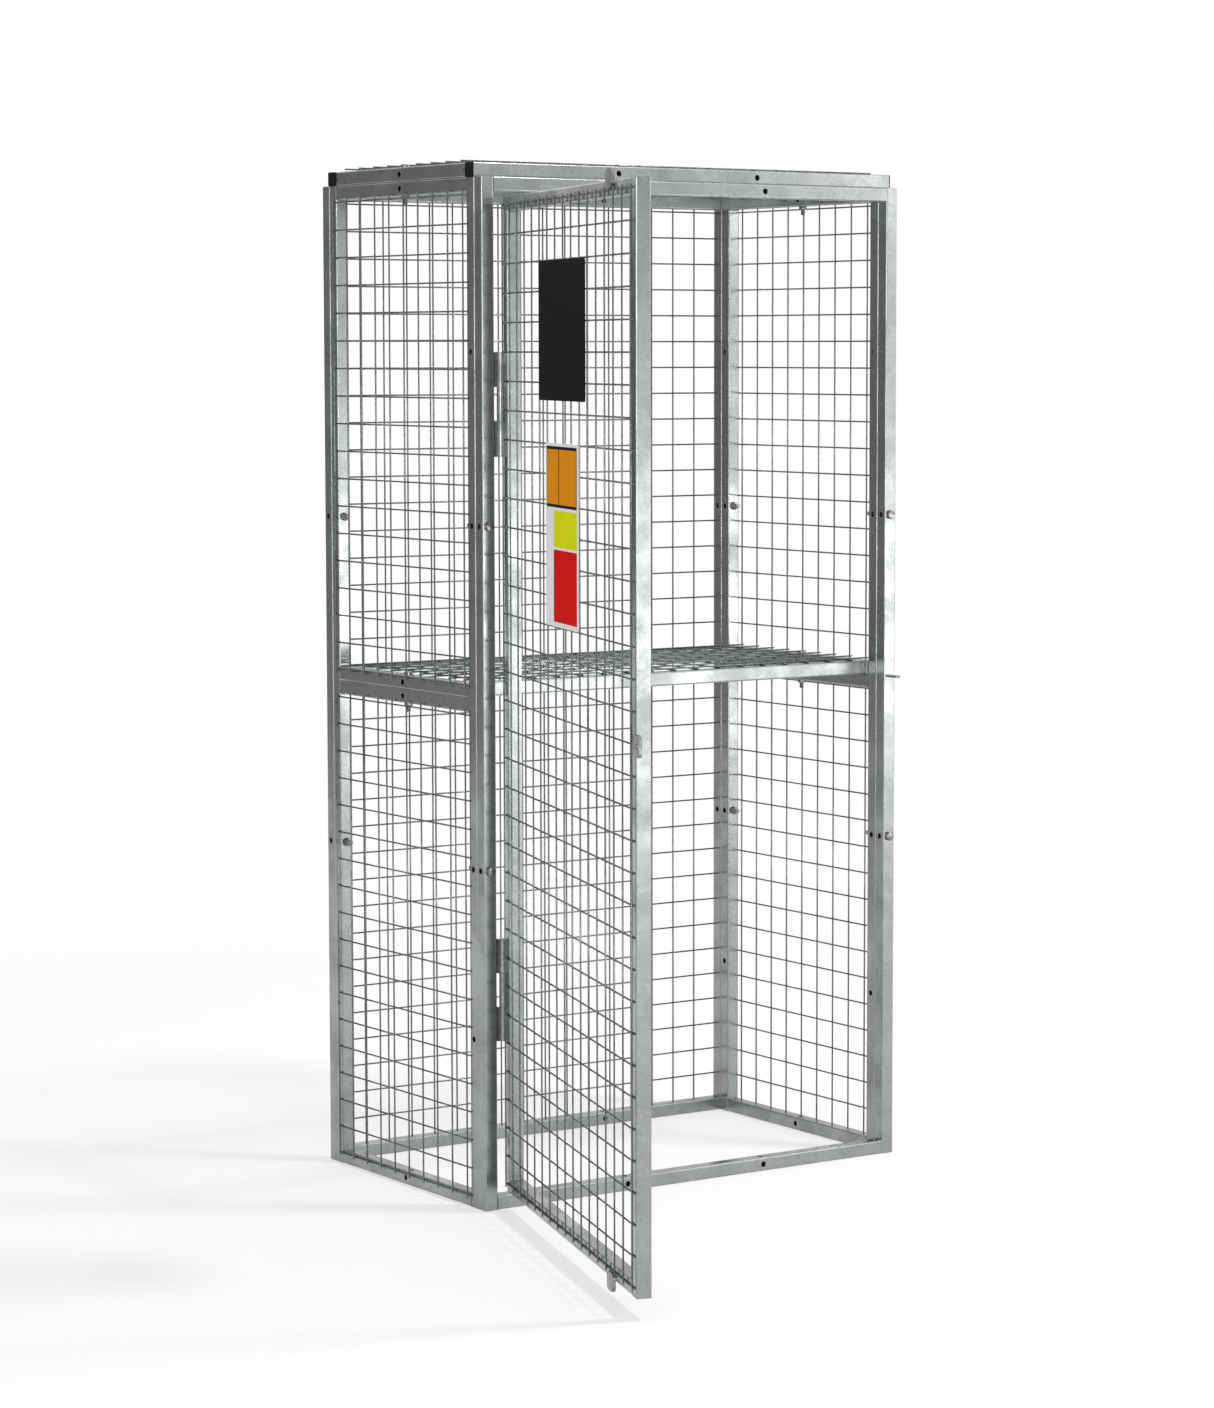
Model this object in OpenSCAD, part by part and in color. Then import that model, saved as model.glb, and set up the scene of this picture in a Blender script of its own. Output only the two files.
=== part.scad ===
// Gas cylinder cage: four bolted frames of galvanised square tube with welded wire
// mesh, a roof, a shelf at half height and a door on two barrel hinges.
// Millimetres. X runs across the front, the front faces -Y and Z is up.
// The origin is the centre of the footprint of the closed frames, on the floor.

/* [Cage] */
// Width over the front and back frames
cage_w = 900; // [600:10:1400]
// Depth of the side frames, the roof and the shelf
side_d = 500; // [400:10:800]
// Height of the four upright frames
panel_h = 1800; // [1500:10:2200]
// Underside of the shelf frame, on top of the middle side rails
shelf_z = 900; // [700:10:1100]
// Distance that the shelf's long tubes stand in from the depth of the side frames
shelf_inset = 35; // [30:1:60]

/* [Tube] */
// Outside width of the square tube
tube = 25; // [20:1:35]
// Wall thickness of the tube
wall = 1.5; // [1:0.1:3]
// Outside corner radius of the tube
tube_r = 2.5; // [2:0.1:4]
// Thickness of the plate that closes the top end of a post
post_plate = 2; // [1:0.5:3]
// Thickness of the lip of a plastic end cap
cap_lip = 2; // [1:0.5:4]
// Length of the plug of a plastic end cap
cap_plug = 12; // [8:1:20]
// Slack of the plug on each side in the tube
cap_slack = 0.2; // [0.1:0.05:0.4]

/* [Mesh] */
// Diameter of the wire
wire_d = 3; // [2:0.5:4]
// Distance from wire to wire
pitch = 50; // [40:5:75]
// Distance from the edge of a fixed frame to its first wire
mesh_edge = 20; // [18:1:22]
// Length of wire past the last crossing, and the lap on the far tube
wire_lap = 5; // [3:1:7]
// Depth to which crossing wires are welded into each other
weld = 0.3; // [0.2:0.1:0.6]
// Least distance from the edge of the door to its first wire
door_margin = 10; // [8:1:12]

/* [Door] */
// Gap between the free side of the door and the post beside it
door_side_gap = 8; // [6:1:12]
// Gap between the door and the rails above and below it
door_gap = 10; // [8:1:20]
// Angle to which the door stands open
door_open = 108; // [0:1:155]
// Width of a stop tab
tab_w = 36; // [30:1:40]
// Thickness of a stop tab
tab_t = 5; // [3:0.5:6]
// Height that a stop tab reaches beyond the door
tab_reach = 18; // [14:1:24]
// Radius of the corners of a stop tab
tab_r = 10; // [4:1:12]
// Mesh gap that the stop tabs sit in, counted from the hinge side
tab_column = 13; // [2:1:14]

/* [Hinges] */
// Gap between the hinge post and the door
hinge_gap = 20; // [18:1:26]
// Distance of the hinge axis in front of the frame's front face
hinge_out = 3; // [2:0.5:5]
// Height of the underside of the lower hinge
hinge_low = 300; // [200:10:400]
// Distance of the top of the upper hinge below the top of the frames
hinge_high = 300; // [200:10:400]
// Outside diameter of the hinge barrel
barrel_d = 13; // [12:0.5:15]
// Diameter of the hinge pin
pin_d = 8; // [6:0.5:9]
// Slack all round the pin in the door's knuckle
pin_slack = 0.1; // [0.05:0.01:0.2]
// Length of one knuckle, of three in a hinge
knuckle = 60; // [40:5:80]
// Slack above and below the middle knuckle
knuckle_slack = 0.4; // [0.3:0.1:1]
// Length of a hinge leaf, from the axis along the post
leaf_len = 23; // [18:1:25]

/* [Latch] */
// Height of the latch plate, which the staple stands in the middle of
latch_h = 34; // [26:1:50]
// Thickness of the latch plate
latch_t = 4.5; // [3:0.5:6]
// Radius of the corners of the latch plate
latch_r = 6; // [2:1:10]
// Height of the staple's middle
latch_z = 900; // [700:10:1100]
// Width of the staple's tongue
staple_w = 13; // [12:0.5:15]
// Thickness of the staple's tongue
staple_t = 4; // [3:0.5:6]
// Length that the tongue stands out of the post
staple_len = 28; // [24:1:40]
// Diameter of the padlock hole in the tongue
padlock_d = 8; // [6:0.5:9]
// Slack beside the tongue in the slot of the latch plate
slot_side = 2; // [1.5:0.5:3]
// Slack above and below the tongue in the slot
slot_rise = 1.5; // [1:0.5:3]

/* [Holes] */
// Diameter of the bolt holes
hole_d = 10; // [8:0.5:12]
// Distance of the link holes in the long rails from the middle
link_x = 150; // [100:10:250]
// Heights of the two lower bolt holes in a post, and of the upper two from the top
hole_low = 300; // [200:10:400]
hole_mid = 600; // [500:10:700]
// Diameter of the small holes in the outer faces of the roof's end tubes
rivet_d = 4; // [3:0.5:5]
// Distance of a small hole from the front or back edge of the roof
rivet_edge = 32; // [28:1:45]
// Diameter of the bolt heads, which the wires over the middle stop short of
head_d = 16.5; // [14:0.5:20]
// Length of the shortened wires on the end tubes
short_lap = 2; // [1:0.5:3]

/* [Boards] */
// Width of the black board
black_w = 285; // [200:5:350]
// Height of the black board
black_h = 228; // [150:1:300]
// Distance of the black board's middle from the door's middle, towards the hinges
black_shift = -1; // [-20:1:20]
// Distance of the black board's top below the top of the door
black_drop = 116; // [60:1:200]
// Width of the sign board
sign_w = 200; // [150:1:300]
// Height of the sign board
sign_h = 300; // [200:1:320]
// Distance of the sign board's middle from the door's middle, towards the hinges
sign_shift = -2; // [-20:1:20]
// Gap between the black board and the sign board below it
board_gap = 69; // [40:1:120]
// Thickness of both boards
board_t = 2; // [1:0.5:4]
// Radius of the corners of both boards
board_r = 4; // [1:1:10]

/* [Hidden] */
$fn = 48;

half_w = cage_w / 2;
half_d = side_d / 2;
// Middle of a tube that stands at the edge of a frame
post_x = half_w - tube / 2;
post_y = half_d - tube / 2;
front_y = -half_d - tube;
// Inside size of the tube
bore = tube - 2 * wall;
// Length of tube between two posts of a side frame, and of a front or back frame
side_span = side_d - 2 * tube;
long_span = cage_w - 2 * tube;
// Undersides of the rails of an upright frame
top_rail_z = panel_h - tube;
mid_rail_z = shelf_z - tube;
post_holes = [hole_low, hole_mid, panel_h - hole_mid, panel_h - hole_low];
tie_holes = [hole_mid, panel_h - hole_mid];
// Width of the door, and its underside and top
door_w = long_span - hinge_gap - door_side_gap;
door_z0 = tube + door_gap;
door_z1 = top_rail_z - door_gap;
door_h = door_z1 - door_z0;
axis_x = -half_w + tube + hinge_gap / 2;
axis_y = front_y - hinge_out;
hinge_zs = [hinge_low, panel_h - hinge_high - 3 * knuckle];
// A leaf fills the gap between the post and the barrel
leaf_t = (hinge_gap - barrel_d) / 2;
// A wire is drawn six-sided, and measures its diameter across the flats
wire_corners = wire_d / cos(30);
inner_layer = wire_d / 2;
outer_layer = 1.5 * wire_d - weld;
mesh_t = 2 * wire_d - weld;
shelf_y = half_d - shelf_inset;
door_x0 = -half_w + tube + hinge_gap;
frame_reach = half_w - door_x0;
latch_u0 = door_w - wire_start(door_w) + wire_lap + 0.5;
black_z = door_z1 - black_drop - black_h;
sign_z = black_z - board_gap - sign_h;
steel = [0.72, 0.73, 0.74];
black = [0.1, 0.1, 0.1];

// Places of the wires of a fixed frame, from one edge to the far tube
function wires(start, stop) = [for (p = [start + mesh_edge : pitch : stop - tube]) p];
// Places of wires spread evenly about the middle of a width
function wire_count(width) = floor((width - 2 * door_margin) / pitch);
function wire_start(width) = (width - wire_count(width) * pitch) / 2;
function spread(start, width) =
    [for (i = [0 : wire_count(width)]) start + wire_start(width) + i * pitch];
// Wires whose place lies between two limits
function between(places, low, high) = [for (p = places) if (p > low && p < high) p];

side_wires = wires(-half_d, half_d);
back_wires = wires(-half_w, half_w);
low_wires = wires(0, shelf_z);
high_wires = wires(shelf_z, panel_h);
tall_wires = wires(0, panel_h);
tall_split = tall_wires[floor(len(tall_wires) / 2)] - pitch / 2;
deck_x_wires = spread(-half_w + tube, long_span);
deck_y_wires = spread(-half_d + tube, side_span);
door_u_wires = spread(0, door_w);
door_z_wires = spread(door_z0, door_h);
door_split = door_z_wires[floor(len(door_z_wires) / 2)] - pitch / 2;

// Rectangle from the origin with round corners
module rounded(w, h, r) {
    translate([r, 0]) square([w - 2 * r, h]);
    translate([0, r]) square([w, h - 2 * r]);
    for (x = [r, w - r], y = [r, h - r]) translate([x, y]) circle(r);
}

// Square tube that stands on its centre line
module tube_z(length) {
    linear_extrude(length) difference() {
        translate([-tube / 2, -tube / 2]) rounded(tube, tube, tube_r);
        translate([-bore / 2, -bore / 2]) rounded(bore, bore, tube_r - wall);
    }
}

// Tube along X or Y, centred on the origin
module tube_x(length) {
    translate([-length / 2, 0, 0]) rotate([0, 90, 0]) tube_z(length);
}

module tube_y(length) {
    translate([0, -length / 2, 0]) rotate([-90, 0, 0]) tube_z(length);
}

// Upright tube with its top closed
module post(length) {
    tube_z(length);
    translate([-bore / 2, -bore / 2, length - post_plate])
        linear_extrude(post_plate) rounded(bore, bore, tube_r - wall);
}

// Drills through a tube, centred on the origin
module drill_x(d) {
    rotate([0, 90, 0]) cylinder(d = d, h = 2 * tube, center = true);
}

module drill_y(d) {
    rotate([90, 0, 0]) cylinder(d = d, h = 2 * tube, center = true);
}

module drill_z(d) {
    cylinder(d = d, h = 2 * tube, center = true);
}

// One wire along X or Y, flat above and below
module wire_x(start, stop) {
    translate([start, 0, 0]) rotate([0, 90, 0]) rotate([0, 0, 30])
        cylinder(d = wire_corners, h = stop - start, $fn = 6);
}

module wire_y(start, stop) {
    translate([0, start, 0]) rotate([-90, 0, 0])
        cylinder(d = wire_corners, h = stop - start, $fn = 6);
}

// Sheet of mesh that lies on the plane z = 0: cross wires below, long wires on top
module sheet(xs, ys, x_ends, y_ends) {
    for (y = ys) translate([0, y, inner_layer]) wire_x(x_ends[0], x_ends[1]);
    for (x = xs) translate([x, 0, outer_layer]) wire_y(y_ends[0], y_ends[1]);
}

// Mesh of the roof or the shelf: the wires over the bolts stop short of their heads
module deck(reach_y) {
    for (x = deck_x_wires) translate([x, 0, inner_layer]) wire_y(-reach_y, reach_y);
    for (y = deck_y_wires) {
        reach_x = abs(y) < head_d ? long_span / 2 + short_lap : half_w - wire_lap;
        translate([0, y, outer_layer]) wire_x(-reach_x, reach_x);
    }
}

// Turns a sheet upright on the outside of the left, right or back frame
module on_left() {
    translate([-half_w, 0, 0]) rotate([90, 0, -90]) children();
}

module on_right() {
    translate([half_w, 0, 0]) rotate([90, 0, 90]) children();
}

module on_back() {
    translate([0, half_d + tube, 0]) rotate([90, 0, 180]) children();
}

// Places what hangs on the hinges: x from the hinge side, y = 0 at the outer face
module hung() {
    translate([axis_x, axis_y, 0]) rotate([0, 0, -door_open])
        translate([hinge_gap / 2, hinge_out, 0]) children();
}

// Turns a plate or a sheet upright on the outer face of the door
module on_door() {
    hung() rotate([90, 0, 0]) children();
}

// Posts of the left or right frame, at the middle of one of its sides
module side_posts(x) {
    for (y = [-post_y, post_y]) translate([x, y, 0]) difference() {
        post(panel_h);
        for (z = post_holes) translate([0, 0, z]) drill_x(hole_d);
        for (z = tie_holes) translate([0, 0, z]) drill_y(hole_d);
    }
}

// Tube along Y with crossed holes in its middle
module crossed_tube() {
    difference() {
        tube_y(side_span);
        drill_x(hole_d);
        drill_z(hole_d);
    }
}

module side_rails(x) {
    for (z = [0, mid_rail_z, top_rail_z]) translate([x, 0, z + tube / 2]) crossed_tube();
}

module side_mesh_lower() {
    sheet(side_wires, low_wires, [-half_d + mesh_edge - wire_lap, half_d - tube + wire_lap],
        [mesh_edge - wire_lap, mid_rail_z + wire_lap]);
}

module side_mesh_upper() {
    sheet(side_wires, high_wires, [-half_d + mesh_edge - wire_lap, half_d - tube + wire_lap],
        [shelf_z + mesh_edge - wire_lap, top_rail_z + wire_lap]);
}

module left_side_posts() {
    color(steel) side_posts(-post_x);
}

module right_side_posts() {
    color(steel) side_posts(post_x);
}

module left_side_rails() {
    color(steel) side_rails(-post_x);
}

module right_side_rails() {
    color(steel) side_rails(post_x);
}

module left_mesh_lower() {
    color(steel) on_left() side_mesh_lower();
}

module left_mesh_upper() {
    color(steel) on_left() side_mesh_upper();
}

module right_mesh_lower() {
    color(steel) on_right() side_mesh_lower();
}

module right_mesh_upper() {
    color(steel) on_right() side_mesh_upper();
}

// Posts of the front or back frame, at the middle of its depth
module long_posts(y) {
    for (x = [-post_x, post_x]) translate([x, y, 0]) difference() {
        post(panel_h);
        for (z = tie_holes) translate([0, 0, z]) {
            drill_x(hole_d);
            drill_y(hole_d);
        }
    }
}

// Tube across the cage with the two link holes through its front and back
module linked_tube(length) {
    difference() {
        tube_x(length);
        for (x = [-link_x, link_x]) translate([x, 0, 0]) drill_y(hole_d);
    }
}

// Rails of the front or back frame: the lower one is also drilled for the floor
module long_rails(y) {
    translate([0, y, tube / 2]) difference() {
        linked_tube(long_span);
        for (x = [-link_x, link_x]) translate([x, 0, 0]) drill_z(hole_d);
    }
    translate([0, y, top_rail_z + tube / 2]) linked_tube(long_span);
}

module back_sheet(zs, z_ends) {
    on_back() sheet(back_wires, zs,
        [-half_w + mesh_edge - wire_lap, half_w - tube + wire_lap], z_ends);
}

module back_posts() {
    color(steel) long_posts(half_d + tube / 2);
}

module back_rails() {
    color(steel) long_rails(half_d + tube / 2);
}

module back_mesh_lower() {
    color(steel) back_sheet(between(tall_wires, 0, tall_split),
        [mesh_edge - wire_lap, tall_split]);
}

module back_mesh_upper() {
    color(steel) back_sheet(between(tall_wires, tall_split, panel_h),
        [tall_split, top_rail_z + wire_lap]);
}

module front_posts() {
    color(steel) long_posts(-half_d - tube / 2);
}

module front_rails() {
    color(steel) long_rails(-half_d - tube / 2);
}

// Front and back tubes of the roof, open at both ends for the plastic caps
module roof_long_tubes() {
    color(steel) for (y = [-post_y, post_y])
        translate([0, y, panel_h + tube / 2]) linked_tube(cage_w);
}

module roof_end_tubes() {
    color(steel) for (side = [-1, 1]) translate([side * post_x, 0, panel_h + tube / 2])
        difference() {
            crossed_tube();
            for (y = [rivet_edge - half_d, half_d - rivet_edge])
                translate([side * tube / 2, y, 0]) rotate([0, 90, 0])
                    cylinder(d = rivet_d, h = tube / 2, center = true);
        }
}

// Plastic cap for the end of a roof tube: a lip outside and a plug inside
module end_cap() {
    plug = bore - 2 * cap_slack;
    translate([-tube / 2, -tube / 2, 0]) linear_extrude(cap_lip) rounded(tube, tube, tube_r);
    translate([-plug / 2, -plug / 2, -cap_plug])
        linear_extrude(cap_plug + cap_lip / 2) rounded(plug, plug, tube_r - wall);
}

module roof_end_caps() {
    color(black) for (y = [-post_y, post_y], side = [-1, 1])
        translate([side * half_w, y, panel_h + tube / 2]) rotate([0, side * 90, 0]) end_cap();
}

module roof_mesh() {
    color(steel) translate([0, 0, panel_h + tube]) deck(half_d - wire_lap);
}

module shelf_end_tubes() {
    color(steel) for (x = [-post_x, post_x])
        translate([x, 0, shelf_z + tube / 2]) crossed_tube();
}

module shelf_long_tubes() {
    color(steel) for (side = [-1, 1])
        translate([0, side * (shelf_y - tube / 2), shelf_z + tube / 2]) tube_x(long_span);
}

module shelf_mesh() {
    color(steel) translate([0, 0, shelf_z + tube]) deck(shelf_y - wire_lap);
}

// Knuckle from the hinge axis, with its leaf towards -X and back along the post
module knuckle(z, length) {
    translate([0, 0, z]) {
        cylinder(d = barrel_d, h = length);
        translate([-hinge_gap / 2, 0, 0]) cube([hinge_gap / 2, leaf_t, length]);
        translate([-hinge_gap / 2, 0, 0]) cube([leaf_t, leaf_len, length]);
    }
}

// Fixed half of a hinge: the outer knuckles, joined by the pin
module hinge_frame_half(z) {
    color(steel) translate([axis_x, axis_y, z]) {
        knuckle(0, knuckle);
        knuckle(2 * knuckle, knuckle);
        cylinder(d = pin_d, h = 3 * knuckle);
    }
}

// Moving half of a hinge: the middle knuckle, bored for the pin
module hinge_door_half(z) {
    color(steel) translate([axis_x, axis_y, z]) rotate([0, 0, -door_open]) difference() {
        mirror([1, 0, 0]) knuckle(knuckle + knuckle_slack, knuckle - 2 * knuckle_slack);
        cylinder(d = pin_d + 2 * pin_slack, h = 3 * knuckle);
    }
}

module lower_hinge_frame_half() {
    hinge_frame_half(hinge_zs[0]);
}

module upper_hinge_frame_half() {
    hinge_frame_half(hinge_zs[1]);
}

module lower_hinge_door_half() {
    hinge_door_half(hinge_zs[0]);
}

module upper_hinge_door_half() {
    hinge_door_half(hinge_zs[1]);
}

// Flat tongue for a padlock on the free side of the front frame
module padlock_staple() {
    tip_y = front_y - staple_len + staple_w / 2;
    color(steel) translate([post_x, 0, latch_z - staple_t / 2]) linear_extrude(staple_t)
        difference() {
            union() {
                translate([-staple_w / 2, tip_y]) square([staple_w, front_y - tip_y]);
                translate([0, tip_y]) circle(d = staple_w);
            }
            translate([0, tip_y]) circle(d = padlock_d);
        }
}

module door_posts() {
    color(steel) hung() for (x = [tube / 2, door_w - tube / 2])
        translate([x, tube / 2, door_z0]) post(door_h);
}

module door_rails() {
    color(steel) hung() for (z = [door_z0 + tube / 2, door_z1 - tube / 2])
        translate([door_w / 2, tube / 2, z]) tube_x(door_w - 2 * tube);
}

module door_sheet(zs, z_ends) {
    on_door() sheet(door_u_wires, zs,
        [door_u_wires[0] - wire_lap, door_u_wires[len(door_u_wires) - 1] + wire_lap], z_ends);
}

module door_mesh_lower() {
    color(steel) door_sheet(between(door_z_wires, 0, door_split),
        [door_z_wires[0] - wire_lap, door_split]);
}

module door_mesh_upper() {
    color(steel) door_sheet(between(door_z_wires, door_split, panel_h),
        [door_split, door_z_wires[len(door_z_wires) - 1] + wire_lap]);
}

// Tabs that stop the door against the rails above and below it
module door_stop_tabs() {
    tab_u = door_u_wires[tab_column] + (pitch - tab_w) / 2;
    low_edge = door_z_wires[0] - wire_d / 2 - 0.5;
    high_edge = door_z_wires[len(door_z_wires) - 1] + wire_d / 2 + 0.5;
    tab_h = low_edge - door_z0 + tab_reach;
    color(steel) on_door() {
        translate([tab_u, low_edge - tab_h, 0])
            linear_extrude(tab_t) rounded(tab_w, tab_h, tab_r);
        translate([tab_u, high_edge, 0])
            linear_extrude(tab_t) rounded(tab_w, tab_h, tab_r);
    }
}

// Plate on the free side of the door, slotted for the staple
module latch_plate() {
    slot_w = staple_w + 2 * slot_side;
    slot_h = staple_t + 2 * slot_rise;
    color(steel) on_door() translate([latch_u0, latch_z - latch_h / 2, 0])
        linear_extrude(latch_t) difference() {
            rounded(frame_reach - latch_u0, latch_h, latch_r);
            translate([frame_reach - latch_u0 - tube / 2 - slot_w / 2, (latch_h - slot_h) / 2])
                rounded(slot_w, slot_h, slot_h / 2 - 0.5);
        }
}

// Thin board against the outside of the door's mesh
module board(shift, low_z, w, h) {
    on_door() translate([door_w / 2 - shift - w / 2, low_z, mesh_t])
        linear_extrude(board_t) rounded(w, h, board_r);
}

module black_board() {
    color(black) board(black_shift, black_z, black_w, black_h);
}

module sign_board() {
    color("white") board(sign_shift, sign_z, sign_w, sign_h);
}

left_side_posts();
right_side_posts();
left_side_rails();
right_side_rails();
left_mesh_lower();
left_mesh_upper();
right_mesh_lower();
right_mesh_upper();
back_posts();
back_rails();
back_mesh_lower();
back_mesh_upper();
front_posts();
front_rails();
roof_long_tubes();
roof_end_tubes();
roof_end_caps();
roof_mesh();
shelf_end_tubes();
shelf_long_tubes();
shelf_mesh();
lower_hinge_frame_half();
upper_hinge_frame_half();
padlock_staple();
door_posts();
door_rails();
door_mesh_lower();
door_mesh_upper();
lower_hinge_door_half();
upper_hinge_door_half();
door_stop_tabs();
latch_plate();
black_board();
sign_board();
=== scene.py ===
"""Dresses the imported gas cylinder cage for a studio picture.

The solids of the frame stay where they are and get galvanised, plastic and board
finishes. The sheets of mesh are made again in round wire with a weld at each
crossing, and the bolts, the weld beads and the colour fields of the sign are added.
"""

import logging
import math
from dataclasses import dataclass, field
from enum import Enum
from typing import ClassVar

import bpy
from mathutils import Matrix, Vector


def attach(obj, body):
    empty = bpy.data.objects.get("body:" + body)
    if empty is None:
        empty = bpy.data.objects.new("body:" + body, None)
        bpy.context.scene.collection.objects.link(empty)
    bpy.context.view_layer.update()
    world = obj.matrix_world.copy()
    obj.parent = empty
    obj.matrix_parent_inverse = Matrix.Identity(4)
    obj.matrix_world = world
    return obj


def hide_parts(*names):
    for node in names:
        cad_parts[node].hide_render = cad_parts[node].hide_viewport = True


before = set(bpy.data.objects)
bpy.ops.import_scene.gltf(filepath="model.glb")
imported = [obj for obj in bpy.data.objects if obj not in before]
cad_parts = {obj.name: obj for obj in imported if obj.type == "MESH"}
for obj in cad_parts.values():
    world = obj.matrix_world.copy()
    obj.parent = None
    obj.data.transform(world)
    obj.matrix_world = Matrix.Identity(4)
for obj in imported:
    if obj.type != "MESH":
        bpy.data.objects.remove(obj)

LOG = logging.getLogger("cage")
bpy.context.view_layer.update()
MM = 0.001
PHOTO_WIDTH_PX = 1214
PHOTO_HEIGHT_PX = 1408
# The least cosine between two directions that count as one
ALIGNED = 0.99

Colour = tuple[float, float, float]
Point = tuple[float, float, float]
Span = tuple[float, float]
Socket = bpy.types.NodeSocket
Piece = bpy.types.Object


class Body(Enum):
    """Bodies of the frame."""

    CAGE = "cage"
    DOOR = "door"


class Slot(Enum):
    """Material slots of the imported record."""

    TUBE = "galvanised_tube"
    WIRE = "galvanised_wire"
    PLATE = "galvanised_plate"
    WHITE = "white_board"


class Along(Enum):
    """Directions that a wire or a bead can run in, or a face can look in."""

    X = (1.0, 0.0, 0.0)
    Y = (0.0, 1.0, 0.0)
    Z = (0.0, 0.0, 1.0)

    @property
    def vector(self) -> Vector:
        """The direction as a vector."""
        return Vector(self.value)

    @property
    def turn(self) -> Matrix:
        """The turn that brings Z to this direction."""
        return self.vector.to_track_quat("Z", "Y").to_matrix().to_4x4()


TOP = [Along.Z.vector]
BOTH_ENDS = [Along.Z.vector, -Along.Z.vector]
SIDES = (("left", -1), ("right", 1))


@dataclass(frozen=True)
class CageSizes:
    """Driving sizes of the cage, in metres, as the frame has them."""

    width: float = 0.900
    depth: float = 0.500
    height: float = 1.800
    shelf: float = 0.900
    shelf_inset: float = 0.035
    tube: float = 0.025
    wire: float = 0.003
    pitch: float = 0.050
    mesh_edge: float = 0.020
    wire_lap: float = 0.005
    weld: float = 0.0003
    door_margin: float = 0.010
    hinge_gap: float = 0.020
    hinge_out: float = 0.003
    door_side_gap: float = 0.008
    door_gap: float = 0.010
    door_open: float = math.radians(108)
    tie_height: float = 0.600
    short_lap: float = 0.002

    @property
    def half_width(self) -> float:
        """Half the width over the frames."""
        return self.width / 2

    @property
    def half_depth(self) -> float:
        """Half the depth of the side frames."""
        return self.depth / 2

    @property
    def post_x(self) -> float:
        """Distance from the middle of the cage to the middle of an outer tube."""
        return self.half_width - self.tube / 2

    @property
    def top_rail(self) -> float:
        """Underside of the top rails."""
        return self.height - self.tube

    @property
    def door_width(self) -> float:
        """Width of the door frame."""
        return self.width - 2 * self.tube - self.hinge_gap - self.door_side_gap

    @property
    def door_low(self) -> float:
        """Underside of the door."""
        return self.tube + self.door_gap

    @property
    def door_high(self) -> float:
        """Top of the door."""
        return self.top_rail - self.door_gap

    @property
    def door_height(self) -> float:
        """Height of the door frame."""
        return self.door_high - self.door_low

    @property
    def inner_layer(self) -> float:
        """Middle of the wires that lie against the tube."""
        return self.wire / 2

    @property
    def outer_layer(self) -> float:
        """Middle of the wires that lie on the inner ones."""
        return 1.5 * self.wire - self.weld

    @property
    def mesh_thickness(self) -> float:
        """Thickness of a sheet of mesh."""
        return 2 * self.wire - self.weld

    def count(self, span: float) -> int:
        """Counts the pitches that fit in a length.

        Args:
            span: The length, in metres.

        Returns:
            The number of whole pitches.
        """
        return math.floor(span / self.pitch + 1e-6)

    def spread(self, start: float, span: float) -> list[float]:
        """Places wires evenly about the middle of a width.

        Args:
            start: The lower edge of the width.
            span: The width.

        Returns:
            The places of the wires.
        """
        steps = self.count(span - 2 * self.door_margin)
        first = start + (span - steps * self.pitch) / 2
        return [first + step * self.pitch for step in range(steps + 1)]

    def from_edge(self, start: float, stop: float) -> list[float]:
        """Places the wires of a fixed frame, from one edge to the far tube.

        Args:
            start: The edge that the first wire is near.
            stop: The far edge.

        Returns:
            The places of the wires.
        """
        first = start + self.mesh_edge
        steps = self.count(stop - self.tube - first)
        return [first + step * self.pitch for step in range(steps + 1)]


SIZES = CageSizes()


def bare_tree(owner: bpy.types.Material | bpy.types.World) -> bpy.types.NodeTree:
    """Empties the node tree of a material or a world.

    Args:
        owner: The material or the world.

    Returns:
        The empty tree.
    """
    owner.use_nodes = True
    owner.node_tree.nodes.clear()
    return owner.node_tree


def mix_surfaces(tree: bpy.types.NodeTree, share: Socket, kinds: tuple[bpy.types.Node, ...],
                 output: bpy.types.Node) -> None:
    """Mixes two kinds of surface or backdrop into an output.

    Args:
        tree: The node tree.
        share: How much of the second kind shows.
        kinds: The nodes of both kinds.
        output: The output.
    """
    mix = tree.nodes.new("ShaderNodeMixShader")
    for source, target in zip((share, *(kind.outputs[0] for kind in kinds)), mix.inputs):
        tree.links.new(source, target)
    tree.links.new(mix.outputs[0], output.inputs["Surface"])


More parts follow.
